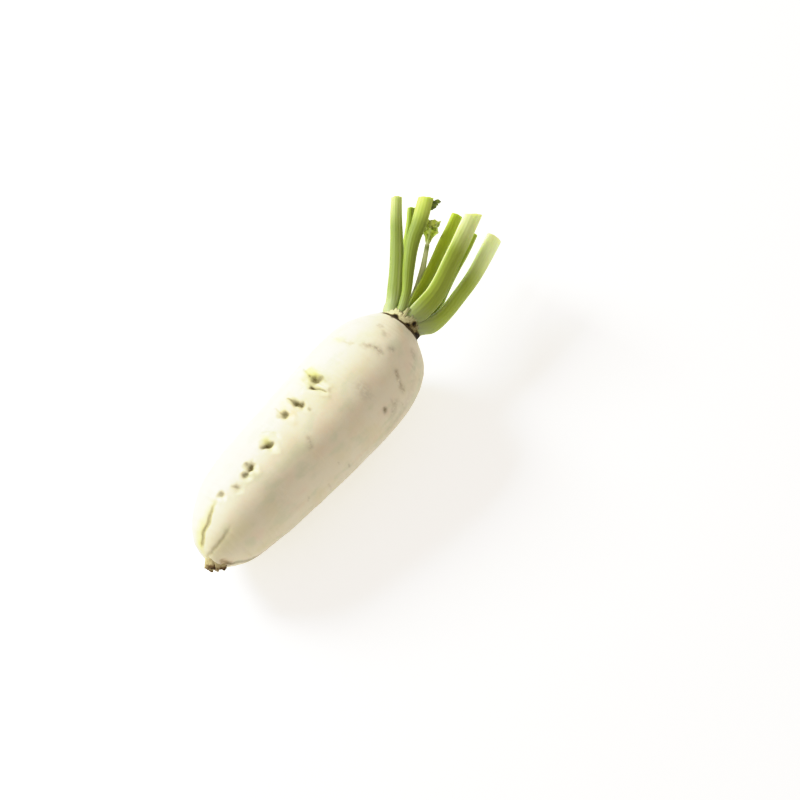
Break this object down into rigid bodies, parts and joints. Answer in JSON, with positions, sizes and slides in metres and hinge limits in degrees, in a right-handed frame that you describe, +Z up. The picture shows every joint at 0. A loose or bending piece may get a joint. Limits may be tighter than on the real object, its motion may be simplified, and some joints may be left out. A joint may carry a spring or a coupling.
{
  "type": "daikon radish",
  "caption": "Stout white daikon radish lying on its side, with side-root scars, a short tail and trimmed green leaf stalks.",
  "frame": {"origin": "middle of the flat spot that the root rests on, below its centre of mass", "axes": "+X along the root from tail to crown, +Z up from the surface it lies on"},
  "size_m": [0.3176, 0.0956, 0.0854],
  "materials": {
    "root_skin": "smooth waxy skin",
    "stalk_green": "satin leaf stalk",
    "young_green": "satin young leaf"
  },
  "bodies": {
    "root": {"root": "root_skin", "leaf_stalk_1": "stalk_green", "leaf_stalk_2": "stalk_green", "leaf_stalk_3": "stalk_green", "leaf_stalk_4": "stalk_green", "leaf_stalk_5": "stalk_green", "leaf_stalk_6": "stalk_green", "leaf_stalk_7": "stalk_green", "young_leaf": "young_green"}
  },
  "joints": []
}
